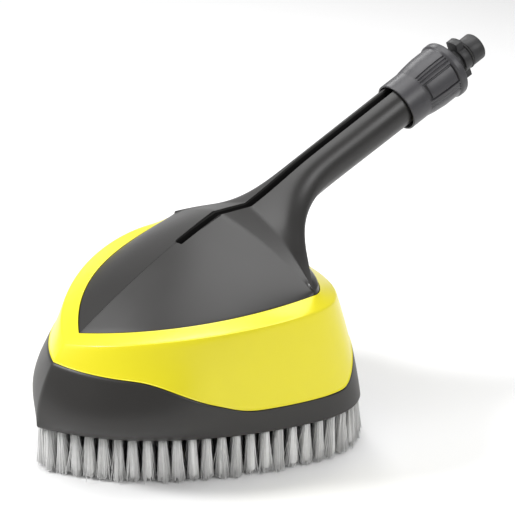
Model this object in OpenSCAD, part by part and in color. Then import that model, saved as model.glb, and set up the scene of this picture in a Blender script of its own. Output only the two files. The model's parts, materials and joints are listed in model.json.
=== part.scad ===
// Wash brush head for a pressure washer: a pointed splash guard with a ring of
// nylon tufts, a rising hollow handle and a turning bayonet coupling.
// The nose points along -Y, the handle rises along +Y, and the tufts stand on Z = 0.

/* [Head] */
// Half of the head's greatest width
half_width = 110; // [106:1:114]
// Height of the skirt's lower edge, which is the free length of the tufts
skirt_foot = 34.4; // [30:0.2:36]
// Height of the line between skirt and shroud along the flanks
flank_line = 54; // [52:1:57]
// Height of the same line at the nose
nose_line = 82; // [79:1:84]
// Height of the same line at the tail, above the release lever
tail_line = 80; // [78:1:84]
// Wall of the moulded shells
wall = 2.6; // [2.2:0.1:3]

/* [Handle] */
// Rise of the handle above the horizontal, degrees
handle_rise = 24.8; // [24:0.2:26]
// Radius of the handle tube at the collar
tube_r = 17; // [16.8:0.1:17.2]
// Radius of the handle tube where it leaves the cover
tube_root_r = 16.4; // [16:0.1:16.8]
// Width of the slot along the top of the handle
slot_w = 9; // [7:0.5:10]

/* [Coupling] */
// Length of the collar with its flange
collar_len = 56.5; // [55:0.5:58]
// Radius of the collar's rim nearest the head
collar_rim_r = 20.2; // [19.5:0.1:21]
// Radius of the collar's flange
flange_r = 23.9; // [23:0.1:25]
// Radius of the bayonet nipple's plug end
nipple_r = 11.6; // [11:0.1:12]
// Reach of the bayonet lugs from the axis
lug_r = 17; // [16:0.1:17.5]

/* [Brush insert] */
// Spacing of the tufts along a row
tuft_pitch = 10.5; // [10:0.1:12]
// Radius of a tuft at its root
tuft_root_r = 2.9; // [2.4:0.1:3.2]
// Radius of a tuft at its tip
tuft_tip_r = 4.6; // [3.5:0.1:4.7]
// Thickness of the plate that holds the tufts
carrier_t = 6; // [5:0.5:8]

/* [Spray system] */
// Radius of the feed pipe
pipe_r = 5; // [4.5:0.1:5.5]
// Radius of the water passage
passage_r = 3.5; // [3:0.1:3.8]
// Distance of each side nozzle from the middle
nozzle_x = 45; // [40:1:48]

/* [Hidden] */

fine = 64;                    // facets of round parts
small = 32;                   // facets of little round parts
gap = 0.3;                    // air between neighbouring pieces
seam = 0.1;                   // half of the parting gap between the cover halves
rows = 22;                    // steps along each of the two curves of an outline

// Axis of the handle: it passes through the middle of the collar's lower rim
rim_y = 207.8;
rim_z = 214.1;
axis_y = cos(handle_rise);
axis_z = sin(handle_rise);
nipple_len = 33.2;
nipple_chamfer = 1;
tip_a = collar_len + nipple_len;

// The origin is under the middle of the overall length
nose_y = -117;
length_middle = (nose_y + rim_y + tip_a * axis_y + (nipple_r - nipple_chamfer) * axis_z) / 2;

widen = half_width / 110;

// Lower edge of the skirt, right half, from nose to flank and from flank to tail
foot_curve = [[[0, -117, 0], [91, -67, 0], [110, 48, 0], [110, 65, 0]],
              [[110, 65, 0], [110, 119, 0], [60, 117, 0], [0, 117, 0]]];
// Edge between the shroud's upright wall and its sloping top band
bevel_curve = [[[0, -91.6, 93.6], [59.2, -74.4, 106.2], [107.8, -6.1, 119.1], [104, 50, 119.5]],
               [[104, 50, 119.5], [101.5, 88, 118], [62, 106, 114], [0, 108, 112]]];
// Edge where the black cover sits in the shroud
cover_curve = [[[0, -79, 98.9], [66, -48.9, 115.3], [84.1, 8.7, 118.5], [93.5, 58, 127.5]],
               [[93.5, 58, 127.5], [94, 71, 127.5], [50, 90, 124], [0, 98, 121]]];

// Ridge of the cover: rises from the nose to the first kink, runs level to the second
kink_1 = [0, 37.6, 165.3];
kink_2 = [0, 66.2, 165.6];
ridge_crown = 4;

// Spray system places
manifold_z = 74;
bend_r = 25;
front_nozzle_y = -55;
nozzle_spots = [[nozzle_x, 0], [-nozzle_x, 0], [0, front_nozzle_y]];

// Heights of the flat inner pieces
deck_z = 86;
deck_t = 3;
carrier_z = skirt_foot;

// Release lever at the tail
lever_w = 44;
lever_z = 60;
lever_y = 108;
notch_half = lever_w / 2 + 0.8;

// ---------- curves ----------

function cubic(p, t) = pow(1 - t, 3) * p[0] + 3 * t * pow(1 - t, 2) * p[1]
                     + 3 * t * t * (1 - t) * p[2] + pow(t, 3) * p[3];
function along(curve, t) = t < 1 ? cubic(curve[0], t) : cubic(curve[1], min(t - 1, 1));
function wide(p) = [p.x * widen, p.y, p.z];
function unit(v) = v / norm(v);
function outward(p) = unit([p.x, p.y - 20, 0]);
function mix(p, q, u) = p + (q - p) * u;
function smooth(u) = let (v = max(0, min(1, u))) v * v * (3 - 2 * v);
function mirrored(p) = [-p.x, p.y, p.z];

// Each outline is followed by t: 0 at the nose, 1 on the flank, 2 at the tail
function skewed(t) = t < 1 ? t + 0.35 * t * (1 - t) : t;
function foot(t) = wide(along(foot_curve, t)) + [0, 0, skirt_foot];
function bevel(t) = wide(along(bevel_curve, skewed(t)));
function cover_edge(t) = wide(along(cover_curve, t));

// The upright wall swells a little, most of all at the nose
function swell(t) = 3.5 + 8.5 * pow(max(0, 1 - t), 2);
function belly(t) = let (m = (foot(t) + bevel(t)) / 2) m + swell(t) * outward(m);
// Low down on both sides of the nose it is rounder still, like a boat's bow
function bow(t) = t < 0.5 ? 12 * sin(360 * t) : 0;
function wall_at(t, v) =
    let (p = pow(1 - v, 2) * foot(t) + 2 * v * (1 - v) * belly(t) + v * v * bevel(t))
    p + bow(t) * 9.5 * v * pow(1 - v, 3) * outward(p);

// Height of the line between skirt and shroud
function split_z(y) = flank_line + (nose_line - flank_line) * smooth((10 - y) / 78)
                    + (tail_line - flank_line) * smooth((y - 78) / 38);
function split_v(t) = let (z = split_z(foot(t).y)) (z - skirt_foot) / (bevel(t).z - skirt_foot);
function wall_in(t, v, d) = let (p = wall_at(t, v)) p - d * outward(p);

ring_ts = [for (i = [0:2 * rows]) i / rows];
function half_to_ring(pts) = concat(pts, [for (i = [len(pts) - 2:-1:1]) mirrored(pts[i])]);

// ---------- shells from rings of points ----------

// Rings joined one after another and back to the first: a band with a hole through it
module ring_band(rings) {
    n = len(rings[0]);
    m = len(rings);
    quads = [for (r = [0:m - 1], i = [0:n - 1])
        let (a = r * n, b = ((r + 1) % m) * n, j = (i + 1) % n)
        each [[a + i, a + j, b + j], [a + i, b + j, b + i]]];
    polyhedron(points = [for (ring = rings) each ring], faces = quads, convexity = 8);
}

// C-shaped sections joined in a row, with both ends closed
module c_loft(sections) {
    n = len(sections[0]);
    m = len(sections);
    h = n / 2;
    sides = [for (r = [0:m - 2], i = [0:n - 1])
        let (a = r * n, b = (r + 1) * n, j = (i + 1) % n)
        each [[a + i, b + j, a + j], [a + i, b + i, b + j]]];
    ends = [for (e = [0, 1], i = [0:h - 2])
        let (a = e * (m - 1) * n, o = a + i, q = a + n - 1 - i)
        each (e == 0 ? [[o, o + 1, q], [o + 1, q - 1, q]] : [[o, q, o + 1], [o + 1, q, q - 1]])];
    polyhedron(points = [for (s = sections) each s], faces = concat(sides, ends), convexity = 8);
}

// ---------- cover with handle ----------

root_a = -80;                 // where the round tube begins, along the handle axis
tube_end_a = 22;
tube_lift = 1;                // the tube lies a little above the collar's axis
nose_lip = 1.5;
flank_lip = 3.5;

function axis_point(a) = [0, rim_y + a * axis_y, rim_z + a * axis_z];
function turn_at(t) = t < 1 ? 110 * t : 110 + 70 * (t - 1);
function tube_radius(a) = mix(tube_root_r, tube_r, min(1, (a - root_a) / -root_a));
function tube_point(t, a, d) = axis_point(a) + tube_lift * [0, -axis_z, axis_y]
    + (tube_radius(a) - d) * (sin(turn_at(t)) * [1, 0, 0] + cos(turn_at(t)) * [0, -axis_z, axis_y]);
// Direction in which a point of the cover moves when its wall is given thickness
function inward(t, p) = -mix([0, -0.45, 0.95], outward(p), smooth(t));
function sunk(t, p, d) = p + d * inward(t, p);
function rear(t) = max(0, t - 1);
function lip(t, h) = cover_edge(t) + [0, 0, h] - 0.3 * h * outward(cover_edge(t));
// Both creases arch a little upwards and back between the ridge and the flank
crease_arch = [0, 4, 2];
function arched(kink, t, h) = mix(kink, lip(1, h), t) + 4 * t * (1 - t) * crease_arch;
function crease_1(t) = t < 1 ? arched(kink_1, t, nose_lip) : lip(t, nose_lip);
function crease_2(t) = t < 1 ? arched(kink_2, t, flank_lip) : lip(t, flank_lip);
// Direction in which the root of the handle leaves the second crease: along the
// handle on the ridge, level and inwards on the flank, upwards at the tail
flank_way = [-0.75, 0.6, 0.1];
hollow_way = [-1.3, -0.7, 0.35];
tail_way = [0, 0.3, 0.95];
function rise(t) = let (u = rear(t))
    unit(t < 1 ? mix([0, axis_y, axis_z], flank_way, smooth(1.35 * t))
        : pow(1 - u, 2) * flank_way + 2 * u * (1 - u) * hollow_way + u * u * tail_way);
function root_point(t, u, d) =
    let (p0 = sunk(t, crease_2(t), d), p3 = tube_point(t, root_a, d), span = norm(p3 - p0),
         start = 0.38 + 0.12 * rear(t), finish = 0.45 + 0.4 * smooth(1.5 * rear(t)))
    cubic([p0, p0 + start * span * rise(t), p3 - finish * span * [0, axis_y, axis_z], p3], u);
function face_point(t, u, d) =
    sunk(t, mix(cover_edge(t), crease_1(t), u), d)
    + [0, 0, ridge_crown * 4 * u * (1 - u) * max(0, 1 - t)];
function cover_station(t, k, d) =
    k < 0 ? sunk(t, cover_edge(t), d) - [0, 0, 5]
    : k <= 5 ? face_point(t, k / 5, d)
    : k <= 6 ? sunk(t, crease_2(t), d)
    : k <= 16 ? root_point(t, (k - 6) / 10, d)
    : k <= 17 ? tube_point(t, -20, d)
    : tube_point(t, tube_end_a, d);
function off_seam(p) = [max(seam, p.x), p.y, p.z];
function cover_section(k) = concat(
    [for (t = ring_ts) off_seam(cover_station(t, k, 0))],
    [for (i = [2 * rows:-1:0]) off_seam(cover_station(ring_ts[i], k, wall))]);

module in_head() translate([0, -length_middle, 0]) children();
module on_axis(a) in_head() translate(axis_point(a)) rotate([handle_rise - 90, 0, 0]) children();

// Cutter for the slot that runs along the ridge and the top of the handle
slot_start_y = 3;
module slot_cutter() {
    in_head() translate([0, slot_start_y + slot_w / 2, kink_1.z - 27]) linear_extrude(60) union() {
        circle(d = slot_w, $fn = small);
        translate([-slot_w / 2, 0]) square([slot_w, kink_2.y - slot_start_y]);
    }
    on_axis(-150) translate([-slot_w / 2, -60, 0]) cube([slot_w, 52, 150 + tube_end_a + 1]);
}

handle_screw_spots = [-62, -14];
screw_drop = 9.4;
module at_handle_screws() {
    for (a = handle_screw_spots) on_axis(a) translate([0, screw_drop, 0]) rotate([0, 90, 0]) children();
}

module cover_half() {
    difference() {
        in_head() c_loft([for (k = [-1:18]) cover_section(k)]);
        slot_cutter();
    }
}

// Posts under the cover that take the screws from the deck: place and height of each
cover_posts = [[60, 40, 48], [45, -10, 37.4], [20, -45, 26]];
module at_cover_posts(side) {
    for (p = cover_posts) in_head() translate([side * p.x, p.y, deck_z + deck_t]) children();
}
module cover_posts_solid(side) {
    for (p = cover_posts) in_head() translate([side * p.x, p.y, deck_z + deck_t + 0.1])
        cylinder(h = p.z, r = 4, $fn = small);
}

module cover_right() {
    color("#3b3a38") difference() {
        union() {
            cover_half();
            cover_posts_solid(1);
            at_handle_screws() translate([0, 0, seam]) cylinder(h = 11, r = 3, $fn = small);
        }
        at_cover_posts(1) cylinder(h = 16, r = 1.5, $fn = small);
        at_handle_screws() cylinder(h = 8, r = 1.3, $fn = small);
    }
}

module cover_left() {
    color("#3b3a38") difference() {
        union() {
            mirror([1, 0, 0]) cover_half();
            cover_posts_solid(-1);
            at_handle_screws() translate([0, 0, -11 - seam]) cylinder(h = 11, r = 3, $fn = small);
        }
        at_cover_posts(-1) cylinder(h = 16, r = 1.5, $fn = small);
        at_handle_screws() translate([0, 0, -20]) cylinder(h = 20, r = 1.6, $fn = small);
        at_handle_screws() translate([0, 0, -22]) cylinder(h = 12, r = 3, $fn = small);
    }
}

// ---------- shroud and skirt ----------

module splash_shroud() {
    band_in = [for (t = ring_ts) cover_edge(t) + gap * 1.5 * outward(cover_edge(t))];
    steps = [0, 0.2, 0.45, 0.7, 0.9];
    outer = [for (s = steps) half_to_ring([for (t = ring_ts) let (v = split_v(t) + 0.004)
                wall_at(t, v + (0.985 - v) * s / 0.9)])];
    inner = [for (i = [4:-1:0]) half_to_ring([for (t = ring_ts) let (v = split_v(t) + 0.004)
                wall_in(t, v + (0.965 - v) * steps[i] / 0.9, wall)])];
    brow = half_to_ring([for (t = ring_ts) mix(bevel(t), cover_edge(t), 0.06) + [0, 0, 0.3]]);
    edge = half_to_ring(band_in);
    under = half_to_ring([for (p = band_in) p - [0, 0, wall]]);
    color("#efe326") in_head() ring_band(concat(outer, [brow, edge, under], inner));
}

module skirt_frame() {
    proud = 0.6;
    levels = [0, 0.33, 0.66, 1];
    top_v = function (t) split_v(t) - 0.004;
    outer = [for (s = levels) half_to_ring([for (t = ring_ts) wall_in(t, s * top_v(t), -proud * s)])];
    inner = [for (i = [3:-1:0]) half_to_ring([for (t = ring_ts)
                wall_in(t, levels[i] * top_v(t), wall)])];
    color("#33312f") difference() {
        in_head() ring_band(concat(outer, inner));
        in_head() translate([-notch_half, 95, lever_z - 17]) cube([2 * notch_half, 35, 50]);
    }
}

// ---------- deck inside ----------

module outline_plate(inset, z, t) {
    ring = half_to_ring([for (u = ring_ts) foot(u) - inset * outward(foot(u))]);
    in_head() translate([0, 0, z]) linear_extrude(t) polygon([for (p = ring) [p.x, p.y]]);
}

module at_nozzles(z) {
    for (s = nozzle_spots) in_head() translate([s.x, s.y, z]) children();
}

// The deck fills the shroud at mid height and carries the spray system and the lever
module deck_plate() {
    top = deck_z + deck_t;
    ring = half_to_ring([for (t = ring_ts) wall_in(t, (top - skirt_foot) / (bevel(t).z - skirt_foot), wall + 0.5)]);
    in_head() translate([0, 0, deck_z]) linear_extrude(deck_t) polygon([for (p = ring) [p.x, p.y]]);
}

lug_x = 14;
module deck() {
    color("#2c2b2a") difference() {
        union() {
            deck_plate();
            for (s = [-1, 1]) in_head() translate([s * lug_x - 2, lever_y - 7, lever_z - 5]) {
                cube([4, 9.6, 8]);
                cube([4, 6.5, deck_z - lever_z + 6]);
            }
        }
        in_head() translate([0, 0, deck_z - 1]) cylinder(h = deck_t + 2, r = 9, $fn = fine);
        for (side = [-1, 1]) at_cover_posts(side) translate([0, 0, -10]) cylinder(h = 20, r = 1.7, $fn = small);
        in_head() translate([-30, lever_y, lever_z]) rotate([0, 90, 0]) cylinder(h = 60, r = 1.6, $fn = small);
    }
}

module deck_screws() {
    color("#b9bbbd") for (side = [-1, 1]) at_cover_posts(side) {
        translate([0, 0, -deck_t - 1.7]) cylinder(h = 1.7, r = 3.4, $fn = small);
        translate([0, 0, -deck_t - 0.1]) cylinder(h = 15, r = 1.45, $fn = small);
    }
}

module handle_screws() {
    color("#b9bbbd") at_handle_screws() {
        translate([0, 0, -12.2]) cylinder(h = 2.2, r = 2.7, $fn = small);
        translate([0, 0, -10]) cylinder(h = 17, r = 1.25, $fn = small);
    }
}

// ---------- brush insert ----------

row_insets = [4.2, 15, 26];
function row_loop(inset) = half_to_ring([for (u = ring_ts) foot(u) - inset * outward(foot(u))]);
function running(loop, i, s) = i == len(loop) ? [s]
    : concat([s], running(loop, i + 1, s + norm(loop[(i + 1) % len(loop)] - loop[i])));
function tuft_places(inset) =
    let (loop = row_loop(inset), s = running(loop, 0, 0), n = len(loop), total = s[n],
         count = floor(total / tuft_pitch),
         xs = [for (i = [0:n]) [s[i], loop[i % n].x]],
         ys = [for (i = [0:n]) [s[i], loop[i % n].y]])
    [for (k = [0:count - 1]) let (d = (k + 0.5) * total / count) [lookup(d, xs), lookup(d, ys)]];

module tuft_row(inset) {
    for (p = tuft_places(inset)) in_head() translate([p.x, p.y, 0])
        cylinder(h = skirt_foot, r1 = tuft_tip_r, r2 = tuft_root_r, $fn = small);
}
module tufts_outer_row() { color("#d9d9d6") tuft_row(row_insets[0]); }
module tufts_middle_row() { color("#cfcfcc") tuft_row(row_insets[1]); }
module tufts_inner_row() { color("#c6c6c3") tuft_row(row_insets[2]); }

module brush_carrier() {
    color("#2b2a29") difference() {
        union() {
            outline_plate(wall + 1.2, carrier_z, carrier_t);
            in_head() translate([-10, lever_y - 13, carrier_z]) cube([20, 4, carrier_t + 10]);
        }
        outline_plate(34, carrier_z - 1, carrier_t + 2);
    }
}

// ---------- spray system ----------

module spray_manifold() {
    color("#55585a") difference() {
        in_head() translate([0, 0, manifold_z]) {
            translate([-nozzle_x, 0, 0]) rotate([0, 90, 0]) cylinder(h = 2 * nozzle_x, r = 6, $fn = fine);
            rotate([90, 0, 0]) cylinder(h = -front_nozzle_y, r = 6, $fn = fine);
            for (s = nozzle_spots) translate([s.x, s.y, -6]) cylinder(h = 13, r = 7, $fn = fine);
            cylinder(h = 16, r = 8.5, $fn = fine);
        }
        in_head() translate([0, 0, manifold_z]) {
            translate([-nozzle_x, 0, 0]) rotate([0, 90, 0]) cylinder(h = 2 * nozzle_x, r = passage_r, $fn = fine);
            rotate([90, 0, 0]) cylinder(h = -front_nozzle_y, r = passage_r, $fn = fine);
            for (s = nozzle_spots) translate([s.x, s.y, -7]) cylinder(h = 7, r = 4, $fn = fine);
            cylinder(h = 6, r = passage_r, $fn = fine);
            translate([0, 0, 6]) cylinder(h = 11, r = pipe_r + 0.05, $fn = fine);
        }
    }
}

module fan_nozzles() {
    color("#c9a24b") at_nozzles(manifold_z) difference() {
        union() {
            translate([0, 0, -14]) cylinder(h = 8, r = 5, $fn = fine);
            translate([0, 0, -6]) cylinder(h = 4, r = 3.9, $fn = fine);
        }
        translate([0, 0, -11]) cylinder(h = 10, r = 2, $fn = fine);
        translate([0, 0, -15]) cylinder(h = 5, r = 0.7, $fn = small);
        translate([-6, -0.6, -14.1]) cube([12, 1.2, 1.6]);
    }
}

module nozzle_caps() {
    color("#2f3133") at_nozzles(manifold_z) difference() {
        translate([0, 0, -12]) cylinder(h = 6, r = 7, $fn = 6);
        translate([0, 0, -13]) cylinder(h = 8, r = 5.1, $fn = fine);
    }
}

module o_ring(r, thick) { rotate_extrude($fn = fine) translate([r, 0]) circle(r = thick, $fn = small); }

module nozzle_seals() {
    color("#1d1d1d") at_nozzles(manifold_z - 1.2) o_ring(3.2, 0.7);
}

pipe_bend = 90 - handle_rise;
bend_z = rim_z - (rim_y - bend_r + bend_r * axis_z) * tan(handle_rise) - bend_r * axis_y;
pipe_top_a = 8;
straight_start_a = -(rim_y - bend_r + bend_r * axis_z) / axis_y;

// Upright pipe, elbow and handle pipe meet end to end, a hair apart
elbow_trim = 0.1;             // degrees left out at each end of the elbow
module pipe_wall() { difference() { circle(r = pipe_r, $fn = fine); circle(r = passage_r, $fn = fine); } }
module feed_pipe() {
    start_z = manifold_z + 6;
    color("#6a6d70") {
        in_head() translate([0, 0, start_z]) linear_extrude(bend_z - start_z) pipe_wall();
        in_head() translate([0, bend_r, bend_z]) rotate([0, -90, 0]) rotate([0, 0, elbow_trim - 90])
            rotate_extrude(angle = pipe_bend - 2 * elbow_trim, $fn = fine) translate([bend_r, 0]) pipe_wall();
        on_axis(straight_start_a) linear_extrude(pipe_top_a - straight_start_a) pipe_wall();
    }
}

module pipe_seals() {
    color("#1d1d1d") {
        in_head() translate([0, 0, manifold_z + 17]) o_ring(pipe_r + 1.1, 0.9);
        on_axis(3) o_ring(pipe_r + 1.1, 0.9);
    }
}

module pipe_saddles() {
    color("#4a4c4e") for (a = [-118, -38]) on_axis(a) difference() {
        cylinder(h = 6, r = 11, $fn = fine);
        translate([-8, -20, -1]) cube([16, 12, 8]);
        translate([0, 0, -1]) cylinder(h = 8, r = pipe_r + 0.1, $fn = fine);
        translate([-4, 0, -1]) cube([8, 20, 8]);
    }
}

// ---------- coupling ----------

journal_r = 10;
socket_r = tube_r - wall - gap - tube_lift;

module lance_socket() {
    color("#46484a") on_axis(0) difference() {
        union() {
            translate([0, 0, 4]) cylinder(h = 18, r = socket_r, $fn = fine);
            translate([0, 0, tube_end_a]) cylinder(h = 4, r = tube_r - 0.6, $fn = fine);
            translate([0, 0, 26]) cylinder(h = 20, r = journal_r, $fn = fine);
        }
        translate([0, 0, 3]) cylinder(h = pipe_top_a - 3, r = pipe_r + 0.05, $fn = fine);
        translate([0, 0, 3]) cylinder(h = 45, r = 4, $fn = fine);
        translate([0, 0, 33]) difference() {
            cylinder(h = 2.4, r = journal_r + 1, $fn = fine);
            cylinder(h = 2.4, r = journal_r - 1.7, $fn = fine);
        }
        translate([0, 0, 43]) difference() {
            cylinder(h = 1.3, r = journal_r + 1, $fn = fine);
            cylinder(h = 1.3, r = journal_r - 1, $fn = fine);
        }
    }
}

module socket_o_ring() { color("#1d1d1d") on_axis(34.2) o_ring(journal_r - 0.85, 0.8); }

module journal_circlip() {
    color("#a9abad") on_axis(43.05) rotate([0, 0, 100]) rotate_extrude(angle = 320, $fn = fine)
        translate([journal_r - 1, 0]) square([2.8, 1.2]);
}

// The nipple turns on the journal; its lugs lock in the spray gun
module bayonet_nipple() {
    front = collar_len;
    color("#232324") on_axis(0) difference() {
        union() {
            translate([0, 0, 28]) cylinder(h = 22, r = 14, $fn = fine);
            translate([0, 0, 50]) cylinder(h = front - 50, r = 17.5, $fn = fine);
            translate([0, 0, front]) cylinder(h = 11.2, r = 9, $fn = fine);
            translate([0, 0, front + 11]) cylinder(h = nipple_len - 11 - nipple_chamfer, r = nipple_r, $fn = fine);
            translate([0, 0, front + nipple_len - nipple_chamfer])
                cylinder(h = nipple_chamfer, r1 = nipple_r, r2 = nipple_r - nipple_chamfer, $fn = fine);
            intersection() {
                translate([0, 0, front + 11]) cylinder(h = 6.6, r = lug_r, $fn = fine);
                translate([-6, -lug_r, front + 11]) cube([12, 2 * lug_r, 6.6]);
            }
        }
        translate([0, 0, 27]) cylinder(h = 14, r = journal_r + 0.05, $fn = fine);
        translate([0, 0, 41]) cylinder(h = 6.5, r = journal_r + 2.2, $fn = fine);
        translate([0, 0, 47]) cylinder(h = 60, r = 5, $fn = fine);
        translate([0, 0, front + 18]) difference() {
            cylinder(h = 2.5, r = nipple_r + 1, $fn = fine);
            cylinder(h = 2.5, r = nipple_r - 1.6, $fn = fine);
        }
    }
}

module nipple_o_ring() { color("#1d1d1d") on_axis(collar_len + 19.25) o_ring(nipple_r - 0.5, 1); }

module coupling_collar() {
    ribs = 12;
    color("#4b4a4c") on_axis(0) difference() {
        union() {
            rotate_extrude($fn = fine) polygon([[18.7, 0], [collar_rim_r, 0], [collar_rim_r, 18],
                [21.2, 24], [22.4, 36], [22.6, 48], [flange_r, 50.5], [flange_r, collar_len],
                [17.6, collar_len], [17.6, 49.5], [14, 49.5], [14, 32], [18.7, 30]]);
            for (i = [0:ribs - 1]) rotate([0, 0, i * 360 / ribs]) translate([20.6, -1, 20])
                cube([2.4, 2, 30]);
        }
    }
}

module collar_ring() {
    color("#303032") on_axis(26.9) difference() {
        cylinder(h = 0.9, r = 18.5, $fn = fine);
        translate([0, 0, -1]) cylinder(h = 3, r = 14.1, $fn = fine);
    }
}

// ---------- release lever ----------

module lever_frame() in_head() translate([0, lever_y, lever_z]) children();

// A rocker: the ribbed upper end is pressed in, and the lower end swings out
module release_lever() {
    ear_x = lug_x + 4.6;
    color("#2a2928") lever_frame() difference() {
        union() {
            translate([-lever_w / 2, 4.2, -14]) cube([lever_w, 2.6, 29]);
            for (i = [0:3]) translate([-lever_w / 2 + 5, 6.6, 2 + i * 3]) cube([lever_w - 10, 0.8, 1.4]);
            for (s = [-1, 1]) translate([s * ear_x - 1.8, 0, 0]) rotate([0, 90, 0])
                cylinder(h = 3.6, r = 3.2, $fn = fine);
            for (s = [-1, 1]) translate([s * ear_x - 1.8, 0, -3]) cube([3.6, 4.6, 6]);
            translate([-9, -1.2, -14]) cube([18, 5.6, 2]);
        }
        translate([-30, 0, 0]) rotate([0, 90, 0]) cylinder(h = 60, r = 1.65, $fn = fine);
    }
}

module lever_pin() {
    color("#b9bbbd") lever_frame() translate([-lever_w / 2, 0, 0]) rotate([0, 90, 0])
        cylinder(h = lever_w, r = 1.6, $fn = fine);
}

// Torsion spring wound round the pin, with one leg on the lever and one on the chassis
module lever_spring() {
    coil_r = 2.9;
    wire_r = 0.45;
    turns = 5;
    steps = turns * 12;
    pitch = 1.3;
    sides = 8;
    rings = [for (i = [0:steps]) let (w = i * 360 / 12)
        [for (j = [0:sides - 1]) let (v = j * 360 / sides, r = coil_r + wire_r * cos(v))
            [i * pitch / 12 - turns * pitch / 2 + wire_r * sin(v), r * cos(w), r * sin(w)]]];
    n = sides;
    m = steps + 1;
    quads = [for (r = [0:m - 2], i = [0:n - 1]) let (a = r * n, b = a + n, j = (i + 1) % n)
        each [[a + i, a + j, b + j], [a + i, b + j, b + i]]];
    caps = [[for (i = [n - 1:-1:0]) i], [for (i = [0:n - 1]) (m - 1) * n + i]];
    color("#c4c6c8") lever_frame()
        polyhedron(points = [for (r = rings) each r], faces = concat(quads, caps), convexity = 8);
}

cover_right();
cover_left();
splash_shroud();
skirt_frame();
deck();
brush_carrier();
tufts_outer_row();
tufts_middle_row();
tufts_inner_row();
spray_manifold();
fan_nozzles();
nozzle_caps();
nozzle_seals();
feed_pipe();
pipe_seals();
pipe_saddles();
lance_socket();
socket_o_ring();
journal_circlip();
bayonet_nipple();
nipple_o_ring();
coupling_collar();
collar_ring();
handle_screws();
deck_screws();
release_lever();
lever_pin();
lever_spring();
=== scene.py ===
# %% [markdown]
# # Wash brush head for a pressure washer
# The brush is a black cover with a rising hollow handle, a yellow splash shroud, a black skirt
# and three rings of pale nylon tufts. Its working parts are already fixed in the CAD model.
# This lesson dresses that model: shells with soft edges, real filaments and moulded finishes.
# We start by loading the fixed model, because every place in the scene comes from it.

# %% Load the fixed model
import json
from math import cos, pi, radians, sin

import bmesh
import bpy
import numpy as np
from mathutils import Matrix, Vector


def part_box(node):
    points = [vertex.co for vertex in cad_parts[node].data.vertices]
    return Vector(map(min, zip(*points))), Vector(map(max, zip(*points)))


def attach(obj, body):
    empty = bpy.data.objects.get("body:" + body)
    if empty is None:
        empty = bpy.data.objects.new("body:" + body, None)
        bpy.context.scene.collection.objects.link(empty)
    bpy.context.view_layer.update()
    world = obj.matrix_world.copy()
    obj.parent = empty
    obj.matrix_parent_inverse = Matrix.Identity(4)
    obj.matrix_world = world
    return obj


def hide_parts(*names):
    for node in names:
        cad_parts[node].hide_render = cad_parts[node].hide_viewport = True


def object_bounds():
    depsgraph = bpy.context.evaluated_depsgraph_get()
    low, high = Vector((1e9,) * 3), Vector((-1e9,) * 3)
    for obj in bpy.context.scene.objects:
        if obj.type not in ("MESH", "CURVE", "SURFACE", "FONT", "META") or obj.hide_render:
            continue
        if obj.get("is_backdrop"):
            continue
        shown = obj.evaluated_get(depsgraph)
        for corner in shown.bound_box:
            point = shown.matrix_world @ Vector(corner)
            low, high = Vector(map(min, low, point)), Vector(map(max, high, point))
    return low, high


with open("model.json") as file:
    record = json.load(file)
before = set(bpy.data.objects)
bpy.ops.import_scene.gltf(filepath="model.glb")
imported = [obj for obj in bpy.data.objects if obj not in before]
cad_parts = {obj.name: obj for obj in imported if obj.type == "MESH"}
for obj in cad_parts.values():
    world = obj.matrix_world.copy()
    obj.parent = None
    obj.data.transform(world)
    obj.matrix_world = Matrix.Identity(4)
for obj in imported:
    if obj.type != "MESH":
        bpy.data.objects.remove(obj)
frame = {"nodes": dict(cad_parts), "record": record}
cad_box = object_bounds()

low, high = (Vector(corner) for corner in cad_box)
print("CAD box in mm:", [round(1000 * side) for side in high - low])

# %% [markdown]
# The head's curves are easiest to write in the head's own frame, whose origin lies under the
# middle of the tuft ring. The CAD model is centred on its overall length instead, so we need
# one shift along Y. The release lever's pin has a known place in the head, which gives it.

# %% Shift from the head's own frame to the model's frame
PIN_Y = 0.108
pin_low, pin_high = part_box("lever_pin")
HEAD = np.array([0, (pin_low.y + pin_high.y) / 2 - PIN_Y, 0])
print("head shift in mm:", np.round(1000 * HEAD, 2))

# %% [markdown]
# ## Camera
# A long lens from more than a metre away keeps the shapes calm, as in a catalogue picture.
# The camera looks down at the head from the front right. It is placed from three directions:
# back towards the viewer, right and up across the picture.

# %% Camera
AZIMUTH, ELEVATION, DISTANCE = radians(55), radians(23.3), 1.073
AIM_RIGHT, AIM_UP = 0.0616, 0.1264
back = Vector((sin(AZIMUTH) * cos(ELEVATION), -cos(AZIMUTH) * cos(ELEVATION), sin(ELEVATION)))
across = Vector((cos(AZIMUTH), sin(AZIMUTH), 0))
upward = back.cross(across)
camera_data = bpy.data.cameras.new("camera")
camera_data.lens, camera_data.sensor_width = 97.86, 36
camera = bpy.data.objects.new("camera", camera_data)
bpy.context.scene.collection.objects.link(camera)
turn = Matrix((across, upward, back)).transposed().to_4x4()
spot = back * DISTANCE + across * AIM_RIGHT + upward * AIM_UP + Vector(HEAD)
camera.matrix_world = Matrix.Translation(spot) @ turn
bpy.context.scene.camera = camera
print("camera at", [round(v, 3) for v in spot])

# %% [markdown]
# ## Outline curves
# Each edge of the head is one outline made of two cubic curves: nose to flank, then flank to
# tail. We follow every outline with one number t: 0 at the nose, 1 on the flank and 2 at the
# tail. Numpy works out whole rows of points at once.

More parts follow.
